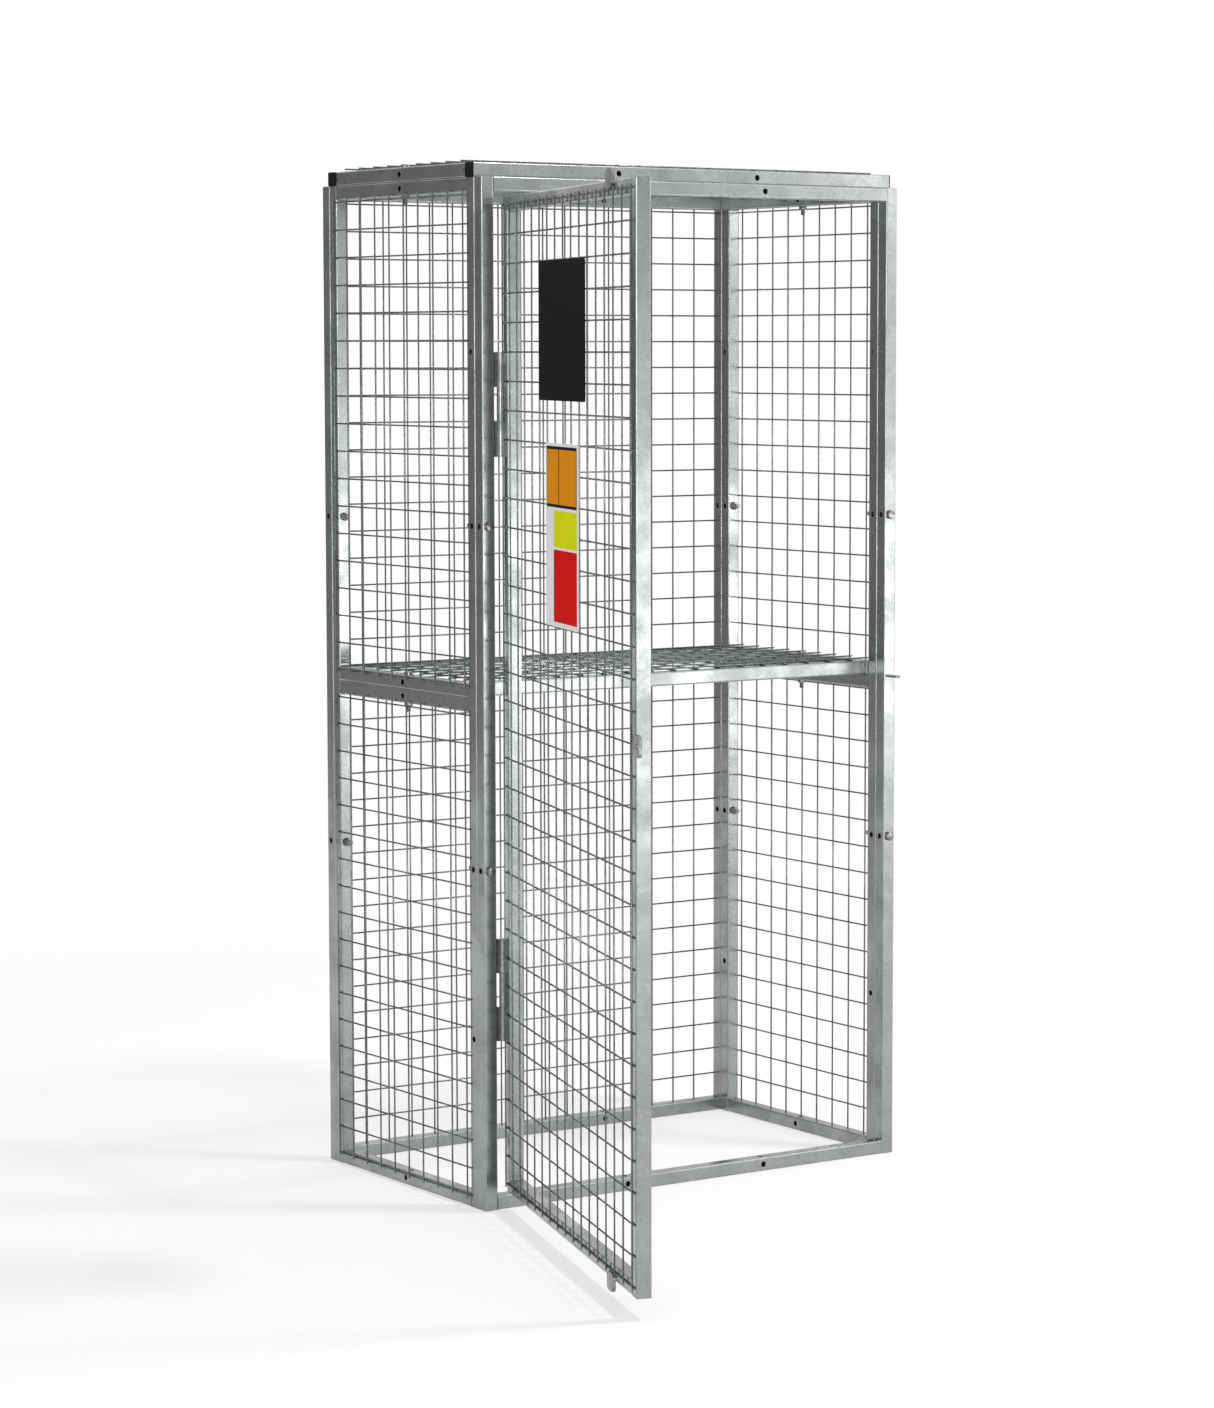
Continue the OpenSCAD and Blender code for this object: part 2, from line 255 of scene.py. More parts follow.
class Graph:
    """Nodes of one material round a shader, with the calls to add and join them."""

    finer_share: ClassVar[float] = 0.55
    ramp_ends: ClassVar[Span] = (0.25, 0.75)
    edge_samples: ClassVar[int] = 6
    # How well the rounded direction matches the plain one, at an edge and on a face
    edge_match: ClassVar[Span] = (0.84, 0.94)

    def __init__(self, name: str, metallic: float, roughness: float,
                 specular: float = 0.5) -> None:
        """Makes a material with one shader.

        Args:
            name: The material's name.
            metallic: How metallic the surface is, the same all over.
            roughness: The roughness, where no node drives it.
            specular: The level of the clear reflection.
        """
        self.material = bpy.data.materials.new(name)
        self.tree = bare_tree(self.material)
        output = self.add("ShaderNodeOutputMaterial")
        self.shader = self.add("ShaderNodeBsdfPrincipled")
        self.shader.inputs["Metallic"].default_value = metallic
        self.shader.inputs["Roughness"].default_value = roughness
        self.shader.inputs["Specular IOR Level"].default_value = specular
        self.link(self.shader.outputs[0], output.inputs["Surface"])
        self.coords = self.add("ShaderNodeTexCoord").outputs["Object"]

    def add(self, kind: str, **values: float) -> bpy.types.Node:
        """Adds a node and sets its unlinked sockets.

        Args:
            kind: The node's type.
            values: Socket names, with underscores for spaces, and their values.

        Returns:
            The node.
        """
        node = self.tree.nodes.new(kind)
        for name, value in values.items():
            node.inputs[name.replace("_", " ")].default_value = value
        return node

    def link(self, source: Socket, target: Socket) -> None:
        """Joins two sockets.

        Args:
            source: The socket that the value comes from.
            target: The socket that takes it.
        """
        self.tree.links.new(source, target)

    def noise(self, scale: float, detail: float) -> Socket:
        """Adds soft noise on the object's own place.

        Args:
            scale: Blobs in a metre.
            detail: Octaves of finer blobs.

        Returns:
            The socket of the noise, from 0 to 1.
        """
        node = self.add("ShaderNodeTexNoise", Scale=scale, Detail=detail,
                        Roughness=self.finer_share)
        self.link(self.coords, node.inputs["Vector"])
        return node.outputs["Fac"]

    def flakes(self, scale: float) -> Socket:
        """Adds crystals that each have one tone.

        Args:
            scale: Crystals in a metre.

        Returns:
            The socket of the tone, from 0 to 1.
        """
        cells = self.add("ShaderNodeTexVoronoi", Scale=scale)
        self.link(self.coords, cells.inputs["Vector"])
        split = self.add("ShaderNodeSeparateColor")
        self.link(cells.outputs["Color"], split.inputs[0])
        return split.outputs[0]

    def blend(self, low: Socket, high: Socket, share: float) -> Socket:
        """Mixes two tones.

        Args:
            low: The first tone.
            high: The second tone.
            share: How much of the second shows.

        Returns:
            The socket of the mixed tone.
        """
        node = self.add("ShaderNodeMix")
        node.inputs[0].default_value = share
        self.link(low, node.inputs[2])
        self.link(high, node.inputs[3])
        return node.outputs[0]

    def remap(self, source: Socket, low: float, high: float,
              start: float = 0.3, stop: float = 0.7) -> Socket:
        """Stretches a tone to new limits.

        Args:
            source: The tone.
            low: The value at and below start.
            high: The value at and above stop.
            start: Where the stretch starts.
            stop: Where it ends.

        Returns:
            The socket of the stretched tone.
        """
        node = self.add("ShaderNodeMapRange")
        for index, value in enumerate((start, stop, low, high), start=1):
            node.inputs[index].default_value = value
        self.link(source, node.inputs[0])
        return node.outputs[0]

    def ramp(self, source: Socket, dark: Colour, light: Colour) -> Socket:
        """Turns a tone into a colour.

        Args:
            source: The tone.
            dark: The colour of the lowest tones.
            light: The colour of the highest tones.

        Returns:
            The socket of the colour.
        """
        node = self.add("ShaderNodeValToRGB")
        start, stop = self.ramp_ends
        node.color_ramp.elements[0].position = start
        node.color_ramp.elements[0].color = (*dark, 1)
        node.color_ramp.elements[1].position = stop
        node.color_ramp.elements[1].color = (*light, 1)
        self.link(source, node.inputs[0])
        return node.outputs[0]

    def relief(self, source: Socket, height: float, strength: float,
               edge: Socket | None = None) -> None:
        """Raises the surface by a tone.

        Args:
            source: The tone.
            height: The height of the relief, in metres.
            strength: How much of it shows.
            edge: The direction of the surface with its edges rounded, or nothing.
        """
        node = self.add("ShaderNodeBump", Distance=height, Strength=strength)
        self.link(source, node.inputs["Height"])
        if edge:
            self.link(edge, node.inputs["Normal"])
        self.link(node.outputs[0], self.shader.inputs["Normal"])

    def round_edge(self, radius: float) -> Socket:
        """Rounds the look of the sharp edges.

        Args:
            radius: The radius that an edge seems to have.

        Returns:
            The socket of the surface's rounded direction.
        """
        node = self.add("ShaderNodeBevel", Radius=radius)
        node.samples = self.edge_samples
        return node.outputs[0]

    def painted_edge_shade(self, edge: Socket, dark: float) -> Socket:
        """Finds the sharp edges of a tube, where painted shade darkens the colour to draw dark
        seams.

        Args:
            edge: The direction of the surface with its edges rounded.
            dark: The share of the colour that stays at the very edge, under the painted shade.

        Returns:
            A socket of 1 on a face, falling to dark at an edge.
        """
        plain = self.add("ShaderNodeNewGeometry").outputs["True Normal"]
        match = self.add("ShaderNodeVectorMath")
        match.operation = "DOT_PRODUCT"
        self.link(edge, match.inputs[0])
        self.link(plain, match.inputs[1])
        return self.remap(match.outputs["Value"], dark, 1.0, *self.edge_match)

    def dim(self, colour: Socket, share: Socket) -> Socket:
        """Darkens a colour by a share.

        Args:
            colour: The colour.
            share: How much of it stays.

        Returns:
            The socket of the darker colour.
        """
        node = self.add("ShaderNodeVectorMath")
        node.operation = "SCALE"
        self.link(colour, node.inputs[0])
        self.link(share, node.inputs["Scale"])
        return node.outputs[0]


@dataclass(frozen=True)
class Galvanised:
    """Hot-dipped zinc: crystals of many greys under soft clouds, with a fine grain.

    Crystals, clouds, grain and waves are counts in a metre, and lengths are in metres.
    """

    name: str
    dark: Colour
    light: Colour
    crystals: float
    clouds: float
    cloud_share: float
    sheen: Span
    metallic: float
    grain: float
    waves: float = 14.0
    wave_height: float = 0.8 * MM
    grain_share: float = 0.02
    edge: float = 0.0
    # Share of the colour left at a sharp edge, where painted shade draws the dark seams
    painted_edge_dark: float = 0.05
    dull_ends: Span = (0.1, 0.9)

    def make(self) -> bpy.types.Material:
        """Builds the material.

        Returns:
            The material.
        """
        graph = Graph(self.name, self.metallic, self.sheen[0])
        crystals = graph.flakes(self.crystals)
        clouds = graph.remap(graph.noise(self.clouds, detail=3), low=0.0, high=1.0)
        tone = graph.blend(crystals, clouds, self.cloud_share)
        colour = graph.ramp(tone, self.dark, self.light)
        edge = None
        if self.edge:
            edge = graph.round_edge(self.edge)
            # Painted shade: the base colour is darkened along sharp edges, standing in for the
            # dark seams between tubes
            colour = graph.dim(colour, graph.painted_edge_shade(edge, self.painted_edge_dark))
        graph.link(colour, graph.shader.inputs["Base Color"])
        dull = graph.remap(clouds, self.sheen[1], self.sheen[0], *self.dull_ends)
        graph.link(dull, graph.shader.inputs["Roughness"])
        waves = graph.noise(self.waves, detail=1)
        uneven = graph.blend(waves, graph.noise(self.grain, detail=2), self.grain_share)
        graph.relief(uneven, self.wave_height, strength=1.0, edge=edge)
        return graph.material


@dataclass(frozen=True)
class Smooth:
    """Plastic, enamel or print: one colour with a faint mottle and a fine texture.

    Texture and clouds are counts in a metre. Mottle and uneven are shares of the value.
    """

    name: str
    colour: Colour
    mottle: float
    roughness: float = 0.42
    texture: float = 900.0
    relief: float = 0.03 * MM
    specular: float = 0.01
    clouds: float = 18.0
    uneven: float = 0.15
    strength: float = 0.4

    def make(self) -> bpy.types.Material:
        """Builds the material.

        Returns:
            The material.
        """
        graph = Graph(self.name, 0.0, self.roughness, self.specular)
        dark = tuple(part * (1 - self.mottle) for part in self.colour)
        light = tuple(min(1.0, part * (1 + self.mottle)) for part in self.colour)
        clouds = graph.noise(self.clouds, detail=4)
        graph.link(graph.ramp(clouds, dark, light), graph.shader.inputs["Base Color"])
        dull = graph.remap(clouds, self.roughness * (1 - self.uneven),
                           self.roughness * (1 + self.uneven))
        graph.link(dull, graph.shader.inputs["Roughness"])
        graph.relief(graph.noise(self.texture, detail=2), self.relief, self.strength)
        return graph.material


class Finish(Enum):
    """Finishes of the cage, by the piece that wears them."""

    TUBE = Galvanised("zinc_on_tube", (0.272, 0.283, 0.285), (0.364, 0.377, 0.379),
                      crystals=210.0, clouds=11.0, cloud_share=0.75, sheen=(0.16, 0.3),
                      metallic=0.85, grain=700.0, edge=1.5 * MM)
    WIRE = Galvanised("zinc_on_wire", (0.11, 0.121, 0.123), (0.185, 0.2, 0.202),
                      crystals=240.0, clouds=30.0, cloud_share=0.5, sheen=(0.2, 0.3),
                      metallic=0.9, grain=1500.0)
    PLATE = Galvanised("zinc_on_plate", (0.2, 0.205, 0.21), (0.31, 0.315, 0.32),
                       crystals=190.0, clouds=30.0, cloud_share=0.6, sheen=(0.26, 0.38),
                       metallic=0.85, grain=900.0, edge=0.8 * MM)
    BOLT = Galvanised("zinc_on_bolt", (0.16, 0.16, 0.16), (0.28, 0.28, 0.28),
                      crystals=500.0, clouds=120.0, cloud_share=0.6, sheen=(0.2, 0.3),
                      metallic=0.9, grain=2500.0)
    WELD = Galvanised("zinc_on_weld", (0.2, 0.2, 0.2), (0.34, 0.34, 0.34),
                      crystals=400.0, clouds=90.0, cloud_share=0.6, sheen=(0.38, 0.55),
                      metallic=0.8, grain=1800.0, grain_share=0.08)
    PLASTIC = Smooth("black_cap_plastic", (0.016, 0.016, 0.017), mottle=0.2, roughness=0.5,
                     texture=2200.0, relief=0.1 * MM)
    BLACK = Smooth("black_board_face", (0.0115, 0.0098, 0.0102), mottle=0.12, texture=700.0,
                   relief=0.05 * MM)
    WHITE = Smooth("white_board_face", (0.76, 0.76, 0.75), mottle=0.03, roughness=0.4,
                   texture=700.0, relief=0.05 * MM)
    INK = Smooth("black_print", (0.012, 0.011, 0.011), mottle=0.1)
    ORANGE = Smooth("orange_print", (0.7, 0.255, 0.003), mottle=0.04)
    YELLOW = Smooth("yellow_print", (0.66, 0.69, 0.001), mottle=0.04)
    RED = Smooth("red_print", (0.66, 0.001, 0.001), mottle=0.04)

    @property
    def material(self) -> bpy.types.Material:
        """The finish's material, made when it is first asked for."""
        return bpy.data.materials.get(self.value.name) or self.value.make()


def deselect() -> None:
    """Leaves nothing selected."""
    bpy.ops.object.select_all(action="DESELECT")


def take(piece: Piece) -> None:
    """Selects one object and makes it active.

    Args:
        piece: The object.
    """
    deselect()
    piece.select_set(True)
    bpy.context.view_layer.objects.active = piece


def settle(piece: Piece, place: Matrix | None = None) -> Piece:
    """Puts an object's place into its mesh.

    Args:
        piece: The object.
        place: Where it goes from where it is, or nothing.

    Returns:
        The object, at the origin and unturned.
    """
    take(piece)
    if place is not None:
        piece.matrix_world = place @ piece.matrix_world
    bpy.ops.object.transform_apply(location=True, rotation=True, scale=True)
    return piece


def join(parts: list[Piece], name: str) -> Piece:
    """Joins objects into one.

    Args:
        parts: The objects.
        name: The name of the joined one.

    Returns:
        The joined object.
    """
    take(parts[0])
    for part in parts[1:]:
        part.select_set(True)
    if len(parts) > 1:
        bpy.ops.object.join()
    joined = bpy.context.view_layer.objects.active
    joined.name = name
    joined.data.name = name
    return joined


def repeat(piece: Piece, count: int, step: Vector) -> None:
    """Repeats an object's mesh in a row.

    Args:
        piece: The object.
        count: How many there are in the row.
        step: The way from one to the next.
    """
    if count < 2:
        return
    take(piece)
    row = piece.modifiers.new("row", "ARRAY")
    row.use_relative_offset = False
    row.use_constant_offset = True
    row.constant_offset_displace = step
    row.count = count
    bpy.ops.object.modifier_apply(modifier=row.name)


def start_picking(piece: Piece, kind: str) -> None:
    """Leaves nothing selected in an object's mesh.

    Args:
        piece: The object.
        kind: What is picked next, FACE or EDGE.
    """
    take(piece)
    bpy.ops.object.mode_set(mode="EDIT")
    bpy.ops.mesh.select_mode(type=kind)
    bpy.ops.mesh.select_all(action="DESELECT")
    bpy.ops.object.mode_set(mode="OBJECT")


def bevel_picked(width: float, steps: int) -> None:
    """Rounds the edges that are picked in the active object's mesh.

    Args:
        width: The width of the bevel.
        steps: Its number of facets.
    """
    bpy.ops.object.mode_set(mode="EDIT")
    bpy.ops.mesh.bevel(offset=width, segments=steps, affect="EDGES")
    bpy.ops.object.mode_set(mode="OBJECT")


def bevel_faces(piece: Piece, normals: list[Vector], width: float, steps: int) -> None:
    """Rounds the edges of the flat faces that look one way.

    Args:
        piece: The object, in place.
        normals: The directions that the faces look in.
        width: The width of the bevel.
        steps: Its number of facets.
    """
    start_picking(piece, "FACE")
    for polygon in piece.data.polygons:
        polygon.select = any(polygon.normal.dot(normal) > ALIGNED for normal in normals)
    bevel_picked(width, steps)


def bevel_uprights(piece: Piece, width: float, steps: int) -> None:
    """Rounds the edges that run along Z.

    Args:
        piece: The object, in place.
        width: The radius of the corners.
        steps: The number of facets of a corner.
    """
    start_picking(piece, "EDGE")
    points = piece.data.vertices
    for edge in piece.data.edges:
        way = (points[edge.vertices[1]].co - points[edge.vertices[0]].co).normalized()
        edge.select = abs(way.z) > ALIGNED
    bevel_picked(width, steps)


def rod(radius: float, low: float, high: float, sides: int) -> Piece:
    """Models a round bar along Z.

    Args:
        radius: The radius across the corners.
        low: Where it starts.
        high: Where it ends.
        sides: The number of its sides.

    Returns:
        The bar.
    """
    deselect()
    bpy.ops.mesh.primitive_cylinder_add(vertices=sides, radius=radius, depth=high - low,
                                        location=(0, 0, (low + high) / 2))
    return settle(bpy.context.active_object)


def smooth(piece: Piece, degrees: float) -> None:
    """Shades a piece smoothly where its faces meet at less than an angle.

    Args:
        piece: The piece.
        degrees: The angle.
    """
    take(piece)
    bpy.ops.object.shade_smooth_by_angle(angle=math.radians(degrees))


def dress(piece: Piece, finish: Finish) -> None:
    """Gives a piece one finish.

    Args:
        piece: The piece.
        finish: The finish.
    """
    piece.data.materials.clear()
    piece.data.materials.append(finish.material)


def seat(piece: Piece, body: Body) -> None:
    """Makes a new piece move with a body.

    Args:
        piece: The piece.
        body: The body it rides on.
    """
    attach(piece, body.value)
    LOG.info("%s on %s: %d faces", piece.name, body.value, len(piece.data.polygons))


def upright(x: float, y: float, turn: float) -> Matrix:
    """Stands a flat sheet up.

    Args:
        x: The place of the sheet's own origin, across.
        y: The same, in depth.
        turn: The turn about Z, from a sheet that faces the front.

    Returns:
        The place of the sheet.
    """
    stand = Matrix.Rotation(math.pi / 2, 4, "X")
    return Matrix.Translation((x, y, 0)) @ Matrix.Rotation(turn, 4, "Z") @ stand


def door_place() -> Matrix:
    """Places what lies on the outer face of the open door.

    Returns:
        The place, with X from the hinge side, Y up and Z out of the door.
    """
    axis_x = -SIZES.half_width + SIZES.tube + SIZES.hinge_gap / 2
    axis_y = -SIZES.half_depth - SIZES.tube - SIZES.hinge_out
    hung = Matrix.Translation((SIZES.hinge_gap / 2, SIZES.hinge_out, 0))
    stand = Matrix.Rotation(math.pi / 2, 4, "X")
    swing = Matrix.Rotation(-SIZES.door_open, 4, "Z")
    return Matrix.Translation((axis_x, axis_y, 0)) @ swing @ hung @ stand


@dataclass
class WireRow:
    """Like wires side by side in the plane of a sheet."""

    along: Along
    ends: Span
    places: list[float]
    height: float
    sides: int = 12
    # Width of the bevel at a cut end
    cut_bevel: float = 0.35 * MM

    def build(self) -> Piece:
        """Models one wire and repeats it.

        Returns:
            The row of wires.
        """
        wire = rod(SIZES.wire / 2, self.ends[0], self.ends[1], self.sides)
        bevel_faces(wire, BOTH_ENDS, self.cut_bevel, steps=1)
        across = Along.Y if self.along is Along.X else Along.X
        first = self.places[0] * across.vector + Vector((0, 0, self.height))
        turn = Matrix.Rotation(math.pi / 2, 4, "Y")
        if self.along is Along.Y:
            turn = Matrix.Rotation(-math.pi / 2, 4, "X")
        settle(wire, Matrix.Translation(first) @ turn)
        repeat(wire, len(self.places), SIZES.pitch * across.vector)
        return wire


@dataclass
class SpotWelds:
    """The small flattened nuggets at the crossings of a sheet."""

    across: list[float]
    up: list[float]
    radius: float = 2.1 * MM
    thickness: float = 0.62

    def build(self) -> Piece:
        """Models one nugget and repeats it over the sheet.

        Returns:
            The nuggets.
        """
        deselect()
        height = (SIZES.inner_layer + SIZES.outer_layer) / 2
        bpy.ops.mesh.primitive_uv_sphere_add(segments=8, ring_count=4, radius=self.radius,
                                             location=(self.across[0], self.up[0], height))
        nugget = bpy.context.active_object
        nugget.scale = (1, 1, self.thickness)
        settle(nugget)
        repeat(nugget, len(self.across), SIZES.pitch * Along.X.vector)
        repeat(nugget, len(self.up), SIZES.pitch * Along.Y.vector)
        return nugget


@dataclass
class MeshSheet:
    """A sheet of welded round wire that stands for one node of the frame."""

    node: str
    body: Body
    place: Matrix
    rows: list[WireRow]
    across: list[float]
    up: list[float]

    def build(self) -> Piece:
        """Models the sheet and puts it in the node's place.

        Returns:
            The sheet.
        """
        parts = [row.build() for row in self.rows]
        parts.append(SpotWelds(self.across, self.up).build())
        sheet = settle(join(parts, f"{self.node}_round_wire"), self.place)
        smooth(sheet, 50.0)
        dress(sheet, Finish.WIRE)
        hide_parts(self.node)
        seat(sheet, self.body)
        return sheet


@dataclass
class MeshWork:
    """All the mesh of the cage, with the sheets where the frame has them."""

    sheets: list[MeshSheet] = field(default_factory=list)

    def wall(self, node: str, body: Body, place: Matrix, across: list[float],
             across_ends: Span, up: list[float],
             up_ends: Span) -> None:
        """Adds an upright sheet, with its long wires outermost.

        Args:
            node: The node that the sheet stands for.
            body: The body that carries it.
            place: Where the sheet stands.
            across: The places of the upright wires.
            across_ends: The ends of the cross wires.
            up: The heights of the cross wires.
            up_ends: The ends of the upright wires.
        """
        rows = [WireRow(Along.X, across_ends, up, SIZES.inner_layer),
                WireRow(Along.Y, up_ends, across, SIZES.outer_layer)]
        self.sheets.append(MeshSheet(node, body, place, rows, across, up))

    def deck(self, node: str, height: float, reach_y: float) -> None:
        """Adds a flat sheet, with the wire over the bolts cut short of their heads.

        Args:
            node: The node that the sheet stands for.
            height: The top of the tubes that it lies on.
            reach_y: The distance from the middle to the ends of the lower wires.
        """
        long_span = SIZES.width - 2 * SIZES.tube
        side_span = SIZES.depth - 2 * SIZES.tube
        across = SIZES.spread(-long_span / 2, long_span)
        up = SIZES.spread(-side_span / 2, side_span)
        reach_x = SIZES.half_width - SIZES.wire_lap
        short_x = long_span / 2 + SIZES.short_lap
        near = SIZES.pitch / 2
        rows = [WireRow(Along.Y, (-reach_y, reach_y), across, SIZES.inner_layer)]
        for places, reach in (([y for y in up if y < -near], reach_x),
                              ([y for y in up if abs(y) < near], short_x),
                              ([y for y in up if y > near], reach_x)):
            rows.append(WireRow(Along.X, (-reach, reach), places, SIZES.outer_layer))
        place = Matrix.Translation((0, 0, height))
        self.sheets.append(MeshSheet(node, Body.CAGE, place, rows, across, up))

    def plan_sides(self) -> None:
        """Plans the two sheets of each side frame."""
        across = SIZES.from_edge(-SIZES.half_depth, SIZES.half_depth)
        ends = (across[0] - SIZES.wire_lap, SIZES.half_depth - SIZES.tube + SIZES.wire_lap)
        low = SIZES.from_edge(0, SIZES.shelf)
        high = SIZES.from_edge(SIZES.shelf, SIZES.height)
        mid_rail = SIZES.shelf - SIZES.tube
        for side, sign in SIDES:
            place = upright(sign * SIZES.half_width, 0, sign * math.pi / 2)
            self.wall(f"{side}_mesh_lower", Body.CAGE, place, across, ends, low,
                      (low[0] - SIZES.wire_lap, mid_rail + SIZES.wire_lap))
            self.wall(f"{side}_mesh_upper", Body.CAGE, place, across, ends, high,
                      (high[0] - SIZES.wire_lap, SIZES.top_rail + SIZES.wire_lap))

    def halves(self, side: str, body: Body, place: Matrix, across: list[float],
               ends: Span, up: list[float], top: float) -> None:
        """Adds a tall sheet in two halves, as the frame has it.

        Args:
            side: The first word of the nodes that the halves stand for.
            body: The body that carries them.
            place: Where they stand.
            across: The places of the upright wires.
            ends: The ends of the cross wires.
            up: The heights of the cross wires.
            top: The upper ends of the upright wires.
        """
        middle = len(up) // 2
        split = up[middle] - SIZES.pitch / 2
        self.wall(f"{side}_mesh_lower", body, place, across, ends, up[:middle],
                  (up[0] - SIZES.wire_lap, split))
        self.wall(f"{side}_mesh_upper", body, place, across, ends, up[middle:], (split, top))

    def plan_back(self) -> None:
        """Plans the back sheet."""
        across = SIZES.from_edge(-SIZES.half_width, SIZES.half_width)
        ends = (across[0] - SIZES.wire_lap, SIZES.half_width - SIZES.tube + SIZES.wire_lap)
        up = SIZES.from_edge(0, SIZES.height)
        place = upright(0, SIZES.half_depth + SIZES.tube, math.pi)
        self.halves("back", Body.CAGE, place, across, ends, up,
                    top=SIZES.top_rail + SIZES.wire_lap)

    def plan_door(self) -> None:
        """Plans the door's sheet."""
        across = SIZES.spread(0, SIZES.door_width)
        ends = (across[0] - SIZES.wire_lap, across[-1] + SIZES.wire_lap)
        up = SIZES.spread(SIZES.door_low, SIZES.door_height)
        self.halves("door", Body.DOOR, door_place(), across, ends, up,
                    top=up[-1] + SIZES.wire_lap)

    def build(self) -> None:
        """Plans and models every sheet."""
        self.plan_sides()
        self.plan_back()
        self.plan_door()
        self.deck("roof_mesh", SIZES.height + SIZES.tube, SIZES.half_depth - SIZES.wire_lap)
        self.deck("shelf_mesh", SIZES.shelf + SIZES.tube,
                  SIZES.half_depth - SIZES.shelf_inset - SIZES.wire_lap)
        for sheet in self.sheets:
            sheet.build()


@dataclass
class TieBolt:
    """A round-headed bolt through two tubes, with its nut and thread end."""

    name: str
    head: Vector
    out: Vector
    grip: float = 2 * SIZES.tube
    head_radius: float = 8.25 * MM
    head_height: float = 5.5 * MM
    shank_radius: float = 4.0 * MM
    nut_flats: float = 13.0 * MM
    nut_height: float = 6.5 * MM
    thread_end: float = 10.0 * MM
    thread_pitch: float = 1.25 * MM
    thread_depth: float = 0.45 * MM
    head_rim: float = 1.1 * MM
    nut_rim: float = 0.7 * MM
    head_sides: int = 40
    shank_sides: int = 20

    def head_part(self) -> Piece:
        """Models the flat round head with its rounded rim.

        Returns:
            The head.
        """
        head = rod(self.head_radius, 0, self.head_height, self.head_sides)
        bevel_faces(head, TOP, self.head_rim, steps=4)
        return head

    def nut_part(self) -> Piece:
        """Models the chamfered hexagon nut under the tubes.

        Returns:
            The nut.
        """
        corners = self.nut_flats / 2 / math.cos(math.pi / 6)
        nut = rod(corners, -self.grip - self.nut_height, -self.grip, sides=6)
        bevel_faces(nut, BOTH_ENDS, self.nut_rim, steps=2)
        return nut

    def thread_part(self) -> Piece:
        """Models the threaded end as a stack of chamfered turns.

        Returns:
            The threaded end.
        """
        low = -self.grip - self.nut_height - self.thread_end
        turns = round(self.thread_end / self.thread_pitch)
        turn = rod(self.shank_radius, low, low + self.thread_pitch, self.shank_sides)
        bevel_faces(turn, BOTH_ENDS, self.thread_depth, steps=1)
        repeat(turn, turns, self.thread_pitch * Along.Z.vector)
        return turn

    def build(self) -> Piece:
        """Models the bolt and puts it through its holes.

        Returns:
            The bolt.
        """
        shank = rod(self.shank_radius, -self.grip - self.nut_height, 0, self.shank_sides)
        parts = [shank, self.head_part(), self.nut_part(), self.thread_part()]
        turn = self.out.to_track_quat("Z", "Y").to_matrix().to_4x4()
        bolt = settle(join(parts, self.name), Matrix.Translation(self.head) @ turn)
        smooth(bolt, 35.0)
        dress(bolt, Finish.BOLT)
        seat(bolt, Body.CAGE)
        return bolt


class Fasteners:
    """The bolts that hold the frames, the roof and the shelf together."""

    def tie_bolts(self) -> list[TieBolt]:
        """Lists the bolts between the front and back frames and the side frames.

        Returns:
            The bolts.
        """
        bolts = []
        face = SIZES.half_depth + SIZES.tube
        for side, sign in SIDES:
            for y, out, end in ((-face, -Along.Y.vector, "front"), (face, Along.Y.vector, "back")):
                for z, level in ((SIZES.tie_height, "low"),
                                 (SIZES.height - SIZES.tie_height, "high")):
                    middle = Vector((sign * SIZES.post_x, y, z))
                    bolts.append(TieBolt(f"tie_bolt_{end}_{side}_{level}", middle, out))
        return bolts

    def deck_bolts(self) -> list[TieBolt]:
        """Lists the bolts that hold the roof and the shelf down on the side frames.

        Returns:
            The bolts.
        """
        bolts = []
        for side, sign in SIDES:
            for z, deck in ((SIZES.height, "roof"), (SIZES.shelf, "shelf")):
                top = Vector((sign * SIZES.post_x, 0, z + SIZES.tube))
                bolts.append(TieBolt(f"{deck}_bolt_{side}", top, Along.Z.vector))
        return bolts

    def build(self) -> None:
        """Models every bolt."""
        for bolt in self.tie_bolts() + self.deck_bolts():
            bolt.build()


@dataclass
class Bead:
    """A short fillet of weld in an inner corner of two tubes."""

    middle: Vector
    along: Along


@dataclass
class WeldBeads:
    """All the beads of one body, as one piece."""

    name: str
    body: Body
    beads: list[Bead]
    place: Matrix = field(default_factory=lambda: Matrix.Identity(4))
    length: float = 19.0 * MM
    ripple: float = 2.0 * MM
    radius: float = 2.0 * MM
    squash: float = 0.85
    lean: float = math.radians(18)

    def model(self) -> Piece:
        """Models one bead along Z as overlapping ripples.

        Returns:
            The bead.
        """
        deselect()
        count = math.floor(self.length / self.ripple)
        first = -self.ripple * (count - 1) / 2
        bpy.ops.mesh.primitive_uv_sphere_add(segments=10, ring_count=6, radius=self.radius,
                                             location=(0, 0, first))
        ripple = bpy.context.active_object
        ripple.scale = (1, 1, self.squash)
        ripple.rotation_euler = (self.lean, 0, 0)
        settle(ripple)
        repeat(ripple, count, self.ripple * Along.Z.vector)
        return ripple

    def build(self) -> Piece:
        """Copies the bead to each corner.

        Returns:
            The beads.
        """
        pattern = self.model()
        parts = []
        for bead in self.beads:
            copy = pattern.copy()
            copy.data = pattern.data.copy()
            bpy.context.collection.objects.link(copy)
            spot = Matrix.Translation(bead.middle) @ bead.along.turn
            parts.append(settle(copy, self.place @ spot))
        bpy.data.objects.remove(pattern)
        welds = join(parts, self.name)
        smooth(welds, 60.0)
        dress(welds, Finish.WELD)
        seat(welds, self.body)
        return welds


